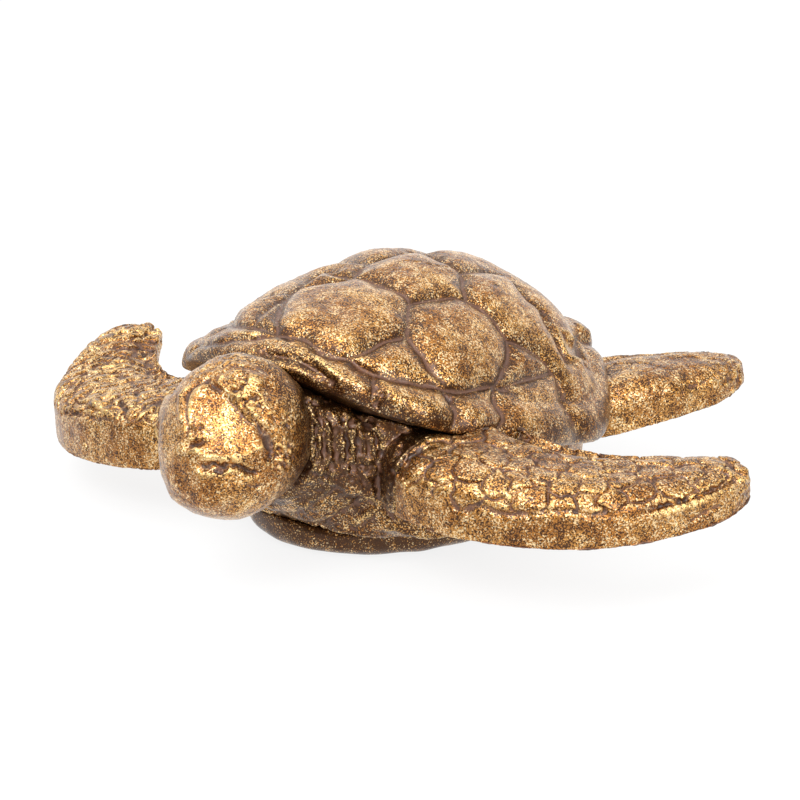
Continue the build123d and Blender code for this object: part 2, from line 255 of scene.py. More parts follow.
def surface_of(piece):
    return BVHTree.FromPolygons([vertex.co / mm for vertex in piece.data.vertices],
                                [polygon.vertices for polygon in piece.data.polygons])


def on_skin(surface, pixels):
    """The points of a piece's surface that the camera sees at some pixels, in millimetres."""
    places = []
    for pixel in pixels:
        place = surface.ray_cast(camera.location / mm, sight(pixel))[0]
        if place is not None:
            places.append(np.array(place))
    return places


# %% Helpers for uneven skin
rng = np.random.default_rng(12)
ragged_size, blunt_end = 2.5, 0.35


def ripples(points, size, count=28):
    """Soft uneven relief between about -1 and 1, made of waves of about one size in millimetres."""
    total = np.zeros(len(points))
    for _ in range(count):
        heading = rng.normal(size=3)
        heading /= np.linalg.norm(heading)
        wave = 2 * pi / (size * rng.uniform(0.7, 1.5))
        total += np.sin(points @ (heading * wave) + rng.uniform(0, 2 * pi))
    return total / np.sqrt(count)


def uneven(piece, kind):
    """How far the waves of one kind of casting raise or sink each point of a piece."""
    points = points_of(piece)
    return sum(height * ripples(points, size) for height, size in waves_of[kind])


def carve(piece, places, width, height, fade=0.15, ragged=0.3):
    """Sink (below zero) or raise a rounded mark along some places. It thins out at both ends."""
    if len(places) < 2:
        return
    points = points_of(piece)
    gap, along = away_from(points, rounded(places))
    gap = gap + ragged * ripples(points, ragged_size, 12)
    ends = np.clip(np.minimum(along, 1 - along) / fade + blunt_end, 0, 1)
    push(piece, height * ends * fading(gap, width))


def stroke(piece, surface, pixels, width, height, fade=0.15, ragged=0.3):
    """As carve, along a line of pixels of the photograph."""
    carve(piece, on_skin(surface, pixels), width, height, fade, ragged)


def dab(piece, surface, pixel, radius, height, rough_size=0):
    """Press a round pit into the skin, or raise a mound, at one pixel. Given a size, it is rough."""
    points = points_of(piece)
    for place in on_skin(surface, [pixel]):
        share = height * fading(np.linalg.norm(points - place, axis=1), radius)
        push(piece, share * ripples(points, rough_size, 16) if rough_size else share)


def soothe(piece, pixels, width, rounds):
    """Smooth the skin along a line of pixels, which fills a fold there."""
    points = points_of(piece)
    gap = away_from(points, rounded(on_skin(surface_of(piece), pixels)))[0]
    share = fading(gap, width)[:, None]
    write(piece, points + share * (relaxed(points, edges_of(piece), rounds) - points))


def fill_hollows(piece, rounds):
    """Raise what lies below its smoothed surroundings up to them, and leave what stands proud."""
    points, out = points_of(piece), normals_of(piece)
    sunk = np.einsum("ij,ij->i", relaxed(points, edges_of(piece), rounds) - points, out)
    push(piece, np.maximum(sunk, 0))


def facet(piece, surface, corners, share=0.8, lift=0.0, soft=5, reach=9):
    """Plane off the skin between some pixels, as a knife leaves it, but nothing beyond the reach."""
    places = np.array(on_skin(surface, corners))
    middle = places.mean(axis=0)
    out = np.linalg.svd(places - middle)[2][2]
    out = out * np.sign(out @ (np.array(camera.location) / mm - middle))
    points = points_of(piece)
    seen = pixel_of(points)
    centre = np.mean(corners, axis=0)
    mask = np.ones(len(points))
    for start, end in zip(corners, corners[1:] + corners[:1]):
        side = np.array((end[1] - start[1], start[0] - end[0]), dtype=float)
        side *= np.sign((centre - start) @ side) / np.linalg.norm(side)
        mask = np.minimum(mask, np.clip((seen - start) @ side / soft + 0.5, 0, 1))
    gap = (points - middle) @ out
    mask = mask * (np.abs(gap) < reach) * share
    write(piece, points - np.outer(mask * (gap - lift), out))


def cell_edges(points, seeds):
    """How much nearer the nearest seed is than the second: zero on the border between two cells."""
    tree = kdtree.KDTree(len(seeds))
    for index, seed in enumerate(seeds):
        tree.insert(seed, index)
    tree.balance()
    gaps = np.array([[found[2] for found in tree.find_n(point, 2)] for point in points])
    return gaps[:, 1] - gaps[:, 0]


# %% [markdown]
# ## The shell
# A sea turtle's shell is a dome of large scutes with soft seams between them, and a border of smaller
# marginal scutes. The dome's sections are the same superellipses as in the plain model, so the piece
# fits the trunk and its box. It is built as a closed form, hollow from below, and then remeshed.

# %% Sizes of the shell
shell_length, shell_width, shell_crown, shell_front = 150.5, 122.5, 82.0, 71.75
shell_wall, seat_inset = 6.0, 14.0
flank_power = 2.3

# along, half width, rim height, crown height and fullness, as shares of length, half width and crown
shell_shares = np.array([
    (0.0, 0.13, 0.75, 0.80, 1.0),
    (0.023, 0.41, 0.72, 0.845, 0.95),
    (0.081, 0.686, 0.64, 0.90, 0.88),
    (0.186, 0.871, 0.55, 0.947, 0.84),
    (0.36, 0.986, 0.445, 0.99, 0.84),
    (0.523, 1.0, 0.36, 1.0, 0.82),
    (0.686, 0.92, 0.32, 0.92, 0.76),
    (0.814, 0.70, 0.406, 0.77, 0.72),
    (0.907, 0.50, 0.47, 0.642, 0.70),
    (0.977, 0.285, 0.49, 0.556, 0.70),
    (1.0, 0.115, 0.50, 0.535, 0.70),
])


def row_at(along):
    """The dome's half width, rim, crown and fullness at some places along it, smoothly between rows."""
    key = shell_shares[:, 0]
    slopes = np.gradient(shell_shares, key, axis=0)
    index = np.clip(np.searchsorted(key, along) - 1, 0, len(key) - 2)
    span = key[index + 1] - key[index]
    t = ((along - key[index]) / span)[:, None]
    a, b = shell_shares[index], shell_shares[index + 1]
    row = ((1 + 2 * t) * (1 - t) ** 2 * a + t * (1 - t) ** 2 * slopes[index] * span[:, None]
           + t * t * (3 - 2 * t) * b + t * t * (t - 1) * slopes[index + 1] * span[:, None])
    return row[:, 1:].T


def dome(across, along, inset=0.0, side_inset=0.0):
    """Points of the dome. Across runs from -1 at the right rim to 1 at the left one."""
    half, rim, crown, fullness = row_at(along)
    half = np.maximum(shell_width / 2 * half - side_inset, 1)
    low, high = shell_crown * rim, shell_crown * crown - inset
    lift = np.maximum(1 - np.abs(across) ** flank_power, 0) ** fullness
    y = (shell_length - 2 * inset) * along - shell_front + inset
    return np.stack([half * across, y, low + np.maximum(high - low, 0) * lift], axis=1)


# %% Build the shell's closed form
columns, rows = 181, 151
turn, along = np.meshgrid(np.linspace(-pi / 2, pi / 2, columns), np.linspace(0, 1, rows))
turn, along = turn.ravel(), along.ravel()
top = dome(np.sin(turn), along)
hollow_start, hollow_end = 0.2, 0.8
inside = (along > hollow_start) & (along < hollow_end)
seat = np.maximum(shell_width / 2 * row_at(along)[0] - seat_inset, 1)
ceiling = dome(np.clip(top[:, 0] / seat, -1, 1), along, shell_wall, seat_inset)
rim_height = shell_crown * row_at(along)[1]
under = np.stack([top[:, 0], top[:, 1], rim_height], axis=1)
inside = inside & (np.abs(top[:, 0]) < seat)
under[inside, 2] = ceiling[inside, 2]

shell_mesh = bmesh.new()
sheets = [[shell_mesh.verts.new(point * mm) for point in sheet] for sheet in (top, under)]
for row in range(rows - 1):
    for column in range(columns - 1):
        a = row * columns + column
        b, c, d = a + 1, a + columns + 1, a + columns
        shell_mesh.faces.new([sheets[0][index] for index in (a, b, c, d)])
        shell_mesh.faces.new([sheets[1][index] for index in (d, c, b, a)])
for end in (0, rows - 1):
    for column in range(columns - 1):
        a = end * columns + column
        corners = [sheets[0][a], sheets[1][a], sheets[1][a + 1], sheets[0][a + 1]]
        shell_mesh.faces.new(corners if end == 0 else corners[::-1])
bmesh.ops.remove_doubles(shell_mesh, verts=shell_mesh.verts, dist=0.001 * mm)
shell = piece_from(shell_mesh, "shell", grain_of["carapace"])

# %% [markdown]
# ### The seams between the scutes
# The seams that the photograph shows are traced as pixels and followed onto the dome. The far side
# takes the mirrored pattern, as places across and along the shell.

# %% Trace the seams
seams_seen = [
    [(334, 270), (346, 271), (366, 274), (380, 279), (395, 286), (407, 292), (411, 298)],
    [(334, 268), (317, 271), (303, 279), (288, 288), (280, 300), (276, 313), (275, 330)],
    [(411, 298), (410, 310), (409, 330)],
    [(409, 330), (400, 333), (385, 337), (373, 344), (361, 350), (349, 354)],
    [(196, 349), (216, 344), (244, 337), (262, 332), (275, 330), (291, 331), (303, 334), (312, 340),
     (322, 348), (334, 353), (349, 356), (361, 364), (375, 371), (395, 376), (414, 379), (436, 383),
     (451, 387), (468, 388), (484, 385), (499, 383)],
    [(409, 330), (417, 342), (426, 354), (436, 368), (446, 379)],
    [(411, 298), (436, 293), (455, 292), (470, 296), (482, 304), (497, 318), (506, 330), (512, 337)],
    [(512, 337), (513, 349), (511, 361), (504, 376), (499, 383)],
    [(413, 248), (431, 252), (448, 259), (463, 269), (466, 284), (470, 296)],
    [(463, 268), (487, 267), (504, 271), (518, 281), (530, 296), (543, 308), (552, 325), (562, 344),
     (569, 356)],
    [(512, 337), (526, 343), (540, 351), (552, 364), (562, 378), (569, 395)],
    [(499, 383), (509, 386), (521, 380), (543, 374), (556, 370)],
    [(375, 371), (373, 388), (375, 407), (385, 416)],
    [(447, 386), (452, 398), (455, 415), (452, 428)],
    [(499, 383), (499, 400), (504, 419), (494, 436)],
    [(562, 378), (567, 402), (572, 424), (578, 450)],
]
# one side of the pattern as (across, along), mirrored where the photograph does not reach
seams_hidden = [
    [(0.29, 0.08), (0.26, 0.24), (0.135, 0.32), (0.165, 0.42), (0.135, 0.55), (0.17, 0.66),
     (0.13, 0.77), (0.14, 0.87)],
    [(0.0, 0.06), (0.29, 0.08), (0.44, 0.11), (0.55, 0.22), (0.56, 0.36), (0.62, 0.46),
     (0.62, 0.58), (0.58, 0.70), (0.48, 0.81), (0.14, 0.87), (0.0, 0.87)],
    [(0.26, 0.24), (0.55, 0.22)],
    [(0.165, 0.42), (0.40, 0.45), (0.56, 0.36)],
    [(0.40, 0.45), (0.62, 0.58)],
    [(0.17, 0.66), (0.58, 0.70)],
    [(0.44, 0.11), (0.90, 0.10)],
    [(0.55, 0.22), (0.94, 0.22)],
    [(0.56, 0.36), (0.95, 0.37)],
    [(0.62, 0.46), (0.95, 0.47)],
    [(0.62, 0.58), (0.95, 0.60)],
    [(0.58, 0.70), (0.95, 0.72)],
]
# the rear of the shell, the same on both sides
seams_behind = [
    [(0.0, 0.87), (0.14, 0.87), (0.48, 0.81), (0.60, 0.73)],
    [(0.48, 0.81), (0.85, 0.90)],
    [(0.14, 0.87), (0.42, 0.97)],
]
seam_lean = 0.08


def on_dome(across, along):
    """A place on the dome, with the pattern's lean to the left. Across is -1 to 1 between the rims."""
    lean = sin(pi / 2 * (across + seam_lean * (1 - across * across)))
    return dome(np.array([lean]), np.array([float(along)]))[0]


shell_surface = surface_of(shell)
seam_lines = [rounded(on_skin(shell_surface, line)) for line in seams_seen]
seam_lines += [rounded([on_dome(-across, along) for across, along in line], 10) for line in seams_hidden]
for side in (-1, 1):
    for line in seams_behind:
        seam_lines.append(rounded([on_dome(side * across, along) for across, along in line], 10))
print(len(seam_lines), "seams")

# %% Swell the scutes and sink the seams
seam_depth, scute_swell, scute_round, scute_power = 2.1, 2.8, 5.0, 1.4
line_depth, line_width = 0.8, 1.1
seam_wobble, wobble_size = 0.4, 9
marginal_roll, marginal_height = 2.1, 13
# a low line inside the shell, which only its outside faces away from
heart_run, heart_height = 0.85, 22

points, out = points_of(shell), normals_of(shell)
heart = points * (0, heart_run, 0) + (0, 0, heart_height)
outward = np.einsum("ij,ij->i", out, points - heart) > 0
places_along = np.clip((points[:, 1] + shell_front) / shell_length, 0, 1)
above_rim = points[:, 2] - shell_crown * row_at(places_along)[1]
seam_gap = np.full(len(points), np.inf)
for line in seam_lines:
    seam_gap = np.minimum(seam_gap, away_from(points, line)[0])
seam_gap = np.maximum(seam_gap + seam_wobble * ripples(points, wobble_size), 0)
swell = scute_swell * (1 - np.exp(-(seam_gap / scute_round) ** scute_power)) - seam_depth
swell -= line_depth * fading(seam_gap, line_width)
swell += marginal_roll * np.sin(pi * from_to(above_rim, 0, marginal_height))
push(shell, np.where(outward, relaxed(swell, edges_of(shell), 2) + uneven(shell, "carapace"), 0))
print("shell carved, deepest", round(float(swell.min()), 1), "mm")

# %% Round the rim, and add the marks that the photograph shows
rim_width, rim_rounds = 3.0, 36
points = points_of(shell)
edge_share = fading(above_rim, rim_width)[:, None]
write(shell, points + edge_share * (relaxed(points, edges_of(shell), rim_rounds) - points))
skin = surface_of(shell)
facet(shell, skin, [(562, 331), (569, 333), (579, 347), (585, 359), (570, 353)], 0.9, lift=-1.4, soft=2)
lip = [(258, 352), (276, 353), (294, 357), (310, 365), (322, 376), (334, 388)]
# line, width, height, fade and raggedness
shell_marks = [
    ([(556, 325), (560, 338), (566, 351), (573, 358), (586, 363)], 0.6, 0.5, 0.1, 0.1),
    ([(577, 328), (588, 335), (596, 345), (601, 354)], 3.0, 1.4, 0.1, 0.1),
    ([(399, 268), (404, 261), (420, 262), (440, 266), (458, 270)], 0.5, -0.35, 0.15, 0.3),
    ([(380, 383), (380, 398), (374, 408)], 1.0, -0.9, 0.15, 0.3),
    (lip, 2.4, -2.2, 0.1, 0.1),
    ([(x + 3, y - 11) for x, y in lip], 1.2, 0.6, 0.1, 0.1),
]
for line, *mark in shell_marks:
    stroke(shell, skin, line, *mark)
lip_gap = away_from(points_of(shell), rounded(on_skin(skin, lip)))[0]
# pixel, radius and height
shell_pits = [((543, 311), 0.9, -1.0), ((315, 353), 2.6, -0.6), ((448, 400), 1.4, -1.0),
              ((566, 414), 1.0, -0.8), ((494, 284), 1.2, -0.4)]
for pit in shell_pits:
    dab(shell, skin, *pit)

# %% [markdown]
# ## The trunk with the neck and tail
# The trunk keeps the plain model's form. The neck's skin lies in deep curved folds behind the jaw,
# and it is the darkest place on the figure: little leaf reached it, and painted shade lies under the shell's
# rim.

# %% Carve the trunk and the neck
trunk = even(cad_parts["body"], "trunk", grain_of["body"])
push(trunk, uneven(trunk, "body"))
skin = surface_of(trunk)
neck_folds = [
    [(268, 353), (292, 378), (308, 402), (315, 430), (316, 460)],
    [(276, 355), (299, 377), (316, 402), (323, 428), (325, 463)],
    [(282, 358), (304, 376), (322, 398), (332, 422), (337, 448), (335, 468)],
    [(292, 361), (314, 377), (332, 396), (343, 418), (348, 440), (348, 462)],
    [(306, 366), (326, 382), (343, 402), (353, 424), (359, 446), (358, 464)],
    [(322, 374), (341, 392), (356, 412), (366, 434), (370, 456)],
    [(345, 396), (360, 412), (374, 434), (380, 452)],
    [(310, 474), (330, 478), (352, 470), (372, 462)],
]
low_folds = [
    [(259, 507), (283, 514), (308, 509), (330, 494), (346, 476)],
    [(266, 519), (297, 525), (328, 520), (352, 505), (364, 490)],
    [(284, 531), (318, 537), (350, 531), (376, 517)],
    [(388, 440), (379, 464), (379, 492), (388, 512), (398, 527)],
    [(405, 440), (396, 456), (393, 476)],
]
# line, width, height, fade and raggedness: each groove has a low ridge beside it
folds = []
for index, fold in enumerate(neck_folds):
    folds.append((fold, 0.8 + 0.4 * (index % 3), -1.7 + 0.45 * (index % 3), 0.1, 0.55))
    folds.append(([(x + 5, y - 2) for x, y in fold], 1.1, 0.3 + 0.4 * (index % 2), 0.1, 0.6))
for fold in low_folds:
    folds.append((fold, 1.3, -1.1, 0.15, 0.3))
    folds.append(([(x + 1, y - 6) for x, y in fold], 2.0, 0.7, 0.15, 0.3))
for line, *mark in folds:
    places = on_skin(skin, line)
    carve(trunk, places, *mark)
    # the same mark on the hidden side
    carve(trunk, [place * (-1, 1, 1) for place in places], *mark)
# pixel, radius, height and size of the roughness, where there is any
trunk_spots = [((352, 470), 6, 0.35, 3.2), ((330, 480), 6, 0.35, 2.6), ((372, 480), 6, 0.35, 3.0),
               ((350, 500), 6, 0.35, 2.4), ((369, 422), 1.5, -2.4), ((491, 442), 2.0, -2.6)]
for spot in trunk_spots:
    dab(trunk, skin, *spot)

# %% [markdown]
# ## The head
# The head is lofted from seven sections, like the plain one, but without its pits, so that the face
# can be carved into clean skin.

# %% Loft the head
head_seat = np.array((3.02, -73.5, 48.7))
head_length, head_width, head_depth = 37.2, 42.0, 43.8
section_power = 2.4
points_around = 96
# forward, sideways, up, half width, rise and drop, as shares of length, width and depth
head_shares = np.array([
    (0.0, 0.0, 0.0, 0.4375, 0.40, 0.44),
    (0.188, 0.01, -0.011, 0.483, 0.50, 0.484),
    (0.47, 0.007, -0.05, 0.50, 0.50, 0.50),
    (0.66, 0.007, -0.087, 0.448, 0.45, 0.46),
    (0.824, 0.017, -0.112, 0.365, 0.36, 0.37),
    (0.953, 0.047, -0.142, 0.229, 0.22, 0.24),
    (1.0, 0.057, -0.151, 0.125, 0.12, 0.13),
])
rings = rounded(head_shares, 8)
turns = np.linspace(0, 2 * pi, points_around + 1)[:-1]
outline_across = np.abs(np.cos(turns)) ** (2 / section_power) * np.sign(np.cos(turns))
outline_up = np.abs(np.sin(turns)) ** (2 / section_power)
head_mesh = bmesh.new()
loops = []
for forward, sideways, up, half, rise, drop in rings:
    lift = outline_up * np.where(turns < pi, rise, -drop)
    loop = np.stack([head_seat[0] + head_width * (sideways + half * outline_across),
                     np.full(len(turns), head_seat[1] - head_length * forward),
                     head_seat[2] + head_depth * (up + lift)], axis=1)
    loops.append([head_mesh.verts.new(point * mm) for point in loop])
for loop, following in zip(loops, loops[1:]):
    for index in range(len(turns)):
        after = (index + 1) % len(turns)
        head_mesh.faces.new([loop[index], loop[after], following[after], following[index]])
head_mesh.faces.new(loops[0])
head_mesh.faces.new(loops[-1][::-1])
head = piece_from(head_mesh, "head_carving", grain_of["head"], rounds=6)

# %% [markdown]
# ### The face
# A turtle's face is made of flat planes: a wedge of snout between two long creases, hooded eyes, a
# cheek and a blunt beak. The planes are cut first, then the bulges, and the cracks and pits last.

# %% Carve the face
push(head, uneven(head, "head"))
skin = surface_of(head)
# corners, share, lift and softness
planes = [
    ([(211, 380), (238, 402), (265, 433), (269, 452), (228, 459), (197, 453), (187, 432), (186, 407),
      (195, 390)], 0.85, 0.7, 7),
    ([(266, 403), (284, 399), (299, 415), (296, 432), (272, 438), (263, 424)], 0.6, 0.8, 5),
    ([(160, 400), (182, 395), (184, 440), (166, 452)], 0.5, -0.2, 5),
]
for corners, *cut in planes:
    facet(head, skin, corners, *cut)
# pixel, radius and height
bulges = [((255, 380), 3.0, 1.5), ((177, 377), 5.0, 3.2), ((281, 412), 4.0, 0.8), ((222, 494), 9.0, 0.8),
          ((269, 390), 2.6, -0.9), ((272, 443), 3.0, -1.1), ((191, 430), 2.4, -0.6)]
for bulge in bulges:
    dab(head, skin, *bulge)
# line, width and height
creases = [
    ([(207, 380), (220, 391), (232, 402), (244, 413), (255, 424), (263, 433)], 0.9, -1.4),
    ([(262, 430), (268, 441), (272, 453), (276, 466)], 1.8, -1.1),
    ([(199, 383), (188, 393), (185, 407), (185, 421), (188, 432)], 0.9, -1.2),
    ([(193, 385), (182, 394), (179, 407), (180, 422)], 1.0, 0.7),
    ([(187, 447), (193, 443), (199, 442), (205, 438), (212, 436)], 1.1, -2.0),
    ([(186, 451), (198, 449), (212, 444)], 1.2, 0.35),
    ([(197, 465), (205, 468), (213, 464), (221, 468), (229, 464)], 1.2, -2.0),
    ([(203, 464), (213, 469), (224, 471)], 0.8, -1.2),
    ([(231, 466), (240, 467), (249, 472), (258, 472)], 0.8, -1.7),
    ([(246, 485), (253, 487), (261, 486)], 0.6, -0.8),
    ([(205, 458), (226, 455), (240, 458), (254, 459), (266, 463), (275, 467)], 1.6, 0.4),
    ([(252, 391), (260, 395), (264, 403), (260, 411)], 0.7, 0.5),
    ([(238, 408), (241, 402), (248, 398), (257, 398)], 1.0, -1.8),
    ([(219, 382), (223, 377), (229, 380), (235, 373), (244, 372)], 0.6, 0.7),
    ([(228, 388), (235, 388), (242, 384), (247, 378)], 1.1, -2.0),
    ([(286, 402), (290, 412), (286, 422), (291, 431)], 0.5, -0.6),
    ([(275, 400), (272, 412), (276, 424)], 0.5, -0.4),
    ([(296, 380), (306, 400), (311, 425), (309, 450), (300, 478)], 1.6, -0.6),
    ([(199, 366), (222, 358), (246, 360), (268, 374)], 0.7, -0.4),
    ([(196, 374), (222, 366), (246, 367), (262, 376)], 0.5, -0.3),
]
for line, width, height in creases:
    stroke(head, skin, line, width, height, fade=0.12, ragged=0.1)
# pixel, radius, height and size of the roughness, where there is any
face_spots = [
    ((242, 404), 1.2, -1.2), ((257, 404), 0.9, -0.7), ((206, 381), 1.3, -0.9),
    ((212, 386), 0.8, -0.5), ((253, 400), 0.8, 0.8), ((248, 407), 0.7, 0.5),
    ((282, 456), 4.5, 0.8, 2.0), ((192, 430), 3.0, 0.35, 1.8), ((226, 470), 4.0, 0.3, 1.6),
    ((240, 380), 4.0, 0.4, 1.8), ((175, 377), 6.0, 0.4, 2.2), ((222, 364), 9.0, 0.22, 2.0),
    ((252, 404), 4.5, 0.3, 1.6), ((283, 415), 5.0, 0.3, 2.4),
]
for spot in face_spots:
    dab(head, skin, *spot)

# %% [markdown]
# ## The flippers
# Sea turtle flippers are covered with flat polygonal scales. They are the cells round a set of
# seeds: the skin sinks where two seeds are equally near. The seeds on the seen side are traced from
# the photograph, and the rest are strewn at an even spacing. The plain model's wide grooves are closed
# first, because the carved borders take their place.

# %% Helpers for scales
scale_wobble, scale_stretch = 0.7, 0.66
scale_round, border_width = 2.4, 0.9


def strewn(piece, spacing, seeds=(), tries=6000):
    """Seeds on the skin, no two nearer than the spacing in millimetres."""
    seeds = [np.array(seed) for seed in seeds]
    points = points_of(piece)
    for index in rng.permutation(len(points))[:tries]:
        place = points[index]
        if not seeds or min(np.linalg.norm(np.array(seeds) - place, axis=1)) > spacing:
            seeds.append(place)
    return seeds


def scales(piece, seeds, depth, swell, share, along=None):
    """Sink the borders between the cells of the seeds. Along a direction, the cells are long."""
    points = points_of(piece)
    moved = points + scale_wobble * np.stack([ripples(points, 5) for _ in range(3)], axis=1)
    if along is not None:
        squeeze = np.outer(along, along) * scale_stretch
        moved = moved - moved @ squeeze
        seeds = [seed - seed @ squeeze for seed in seeds]
    border = cell_edges(moved, seeds)
    height = swell * (1 - np.exp(-border / scale_round)) - depth * fading(border, border_width)
    push(piece, share * height)


def above(piece, line, soft=5):
    """1 for the points that lie above a line of pixels in the photograph, and 0 for those below it."""
    seen = pixel_of(points_of(piece))
    edge = np.interp(seen[:, 0], [x for x, _ in line], [y for _, y in line])
    return np.clip((edge - seen[:, 1]) / soft + 0.5, 0, 1)


# %% Trace the scales and edges of the flippers
seen_scales = {
    "front_flipper_left": [(441, 471), (468, 470), (497, 456), (466, 493), (497, 486), (522, 480), (541, 476),
                           (530, 501), (566, 484), (561, 507), (549, 460), (588, 503), (596, 488), (590, 468),
                           (612, 500), (622, 478), (640, 489), (655, 471), (672, 484), (694, 470), (712, 476),
                           (425, 488), (440, 497), (520, 462)],
}
# below these lines the front edge of a flipper is smooth
scale_edge = {
    "front_flipper_left": [(420, 497), (449, 503), (461, 510), (484, 507), (503, 514), (522, 513), (546, 512),
                           (569, 510), (586, 514), (609, 514), (626, 507), (650, 503), (673, 505),
                           (694, 495), (720, 484), (737, 472)],
    "front_flipper_right": [(55, 408), (66, 413), (84, 413), (98, 420), (112, 418), (130, 420), (165, 425)],
}
# along these lines the plain model has a groove that the photograph doesn't show
rear_edge = {
    "front_flipper_left": [(505, 430), (529, 439), (555, 448), (590, 455), (626, 457), (650, 456), (672, 456),
                           (694, 457)],
    "front_flipper_right": [(149, 330), (147, 347), (147, 362), (152, 374), (166, 381)],
}

# %% Carve the flippers
# spacing of the scales, depth of the borders between them and their own swell, in millimetres
scale_sizes = {
    "front_flipper_left": (7.5, 0.9, 0.12),
    "front_flipper_right": (4.6, 0.9, 0.4),
    "rear_flipper_left": (6.5, 0.18, 0.12),
    "rear_flipper_right": (6.5, 0.18, 0.12),
}
long_way = {"front_flipper_right": (0.447, 0.894, 0)}
groove_width, groove_rounds = 4.5, 160
hollow_rounds = (150, 80)
flippers = {}
for name, (spacing, depth, swell) in scale_sizes.items():
    piece = filled(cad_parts[name], name + "_carving", grain_of[name])
    flippers[name] = piece
    if name in rear_edge:
        soothe(piece, rear_edge[name], groove_width, groove_rounds)
    else:
        for rounds in hollow_rounds:
            fill_hollows(piece, rounds)
    seeds = strewn(piece, spacing, on_skin(surface_of(piece), seen_scales.get(name, ())))
    # only the upper side has scales
    share = from_to(normals_of(piece)[:, 2], -0.25, 0.15)
    if name in scale_edge:
        share = share * above(piece, scale_edge[name])
    scales(piece, seeds, depth, swell, share, long_way.get(name))
    push(piece, uneven(piece, "flippers"))

# %% Cut the creases and ragged tips of the flippers
# line, width and height
flipper_creases = {
    "front_flipper_left": [([(447, 503), (461, 510), (484, 508), (503, 515), (535, 513)], 1.2, -0.9),
                           ([(535, 513), (569, 511), (590, 516), (612, 514)], 1.0, -0.7),
                           ([(647, 510), (670, 505), (694, 498), (715, 489), (736, 478)], 0.9, -1.4),
                           ([(650, 518), (690, 506), (720, 495)], 1.5, 0.5),
                           ([(690, 521), (705, 513), (722, 505)], 0.6, -0.5),
                           ([(727, 462), (736, 468), (744, 475)], 1.4, -1.6),
                           ([(404, 470), (412, 455), (430, 447)], 1.0, -0.7)],
    "front_flipper_right": [([(60, 413), (74, 413), (86, 414), (101, 420)], 0.9, -1.2),
                            ([(92, 398), (101, 408), (118, 417)], 1.2, 0.9),
                            ([(118, 392), (121, 403), (127, 411)], 0.8, -0.7),
                            ([(136, 389), (139, 400), (146, 410)], 0.8, -0.7),
                            ([(85, 442), (87, 449)], 0.8, -0.8)],
    "rear_flipper_left": [([(688, 389), (703, 382), (726, 370)], 0.7, -0.7)],
}
tips = {"front_flipper_left": (740, 478), "front_flipper_right": (152, 330), "rear_flipper_left": (737, 372)}
tip_radius, tip_height, tip_roughness = 7, 0.5, 3.0
for name, lines in flipper_creases.items():
    piece = flippers[name]
    skin = surface_of(piece)
    for line, width, height in lines:
        stroke(piece, skin, line, width, height)
    dab(piece, skin, tips[name], tip_radius, tip_height, tip_roughness)

# %% [markdown]
# ## The base plate
# The figure stands on a low oval plate with a rounded edge, cast with the belly. The plain model has
# its form already, so it is only remeshed, rounded by smoothing, and made a little uneven.

# %% Make the base plate
plate = even(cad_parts["plastron"], "base_plate", grain_of["plastron"], rounds=16)
push(plate, uneven(plate, "plastron"))

# %% [markdown]
# ## Tools for the finishes
# A finish is a tree of shader nodes. Colours are chosen as sRGB hex values, as a paint chart gives
# them, and turned to the linear values that a shader works in. One function adds any kind of node.

# %% Helpers for colours and nodes
def linear(code):
    """An sRGB hex colour as the linear colour that a shader takes."""
    parts = [int(code[index:index + 2], 16) / 255 for index in (1, 3, 5)]
    return [part / 12.92 if part <= 0.04045 else ((part + 0.055) / 1.055) ** 2.4 for part in parts] + [1]


def add(tree, kind, inputs=None, **settings):
    """Add a node, set its properties, and fill its inputs with values or with other nodes' outputs."""
    node = tree.nodes.new("ShaderNode" + kind)
    for key, value in settings.items():
        setattr(node, key, value)
    for socket, value in (inputs or {}).items():
        if isinstance(value, bpy.types.NodeSocket):
            tree.links.new(value, node.inputs[socket])
        else:
            node.inputs[socket].default_value = value
    return node


# %% [markdown]
# ### How deep each point lies
# Antiquing is a dark wash that is wiped off again, so it stays in the hollows, and the leaf is
# brightest on what stands proud, with a painted highlight there; the deepest hollows get painted shade.
# Each point's depth below its smoothed surroundings is stored on the mesh as an attribute, which a material
# can read.

# %% Store the hollows
def store(piece, name, values):
    """Write one number for each point of a mesh."""
    layer = piece.data.attributes.new(name, "FLOAT", "POINT")
    layer.data.foreach_set("value", np.asarray(values, dtype=np.float32))


def store_hollows(piece, grain, reach=2.2, depth=0.5):
    """Write 0.5 for level skin, up to 1 in a hollow and down to 0 on what stands proud."""
    pairs = edges_of(piece)
    points, out = points_of(piece), normals_of(piece)
    rounds = int((reach / grain) ** 2)
    sunk = np.einsum("ij,ij->i", relaxed(points, pairs, rounds) - points, out)
    store(piece, "hollow", np.clip(0.5 + 0.5 * relaxed(sunk, pairs, 1) / depth, 0, 1))


carvings = {"carapace": shell, "body": trunk, "head": head, "plastron": plate, **flippers}
for node, piece in carvings.items():
    store_hollows(piece, grain_of[node])

# %% Store the painted shade, and where little leaf took hold
painted_shade_and_thin_leaf = {}
# painted shade and thin leaf on the neck under the shell's rim, less of both on the trunk's lower part
points = points_of(trunk)
painted_shade_and_thin_leaf["body"] = 0.45 + 0.55 * from_to(points[:, 1], -38, -48) - 0.45 * from_to(points[:, 2], 30, 18)
# painted shade on the back of the head, beside the neck
painted_shade_and_thin_leaf["head"] = 0.8 * from_to(points_of(head)[:, 1], -88, -76)
# painted shade on the shell's rim, most of all in front, under the lip over the neck, along the seams, where
# the leaf is also thinner, and on the sides
points = points_of(shell)
rim = (0.4 + 0.6 * from_to(points[:, 1], -20, -40)) * fading(above_rim, 6)
lip_and_seams = np.maximum(fading(lip_gap, 4), 0.7 * fading(seam_gap, 3.5))
sides = 0.75 * fading(above_rim, 11) * (points[:, 1] > -10)
painted_shade_and_thin_leaf["carapace"] = np.maximum(np.maximum(rim, lip_and_seams), sides)
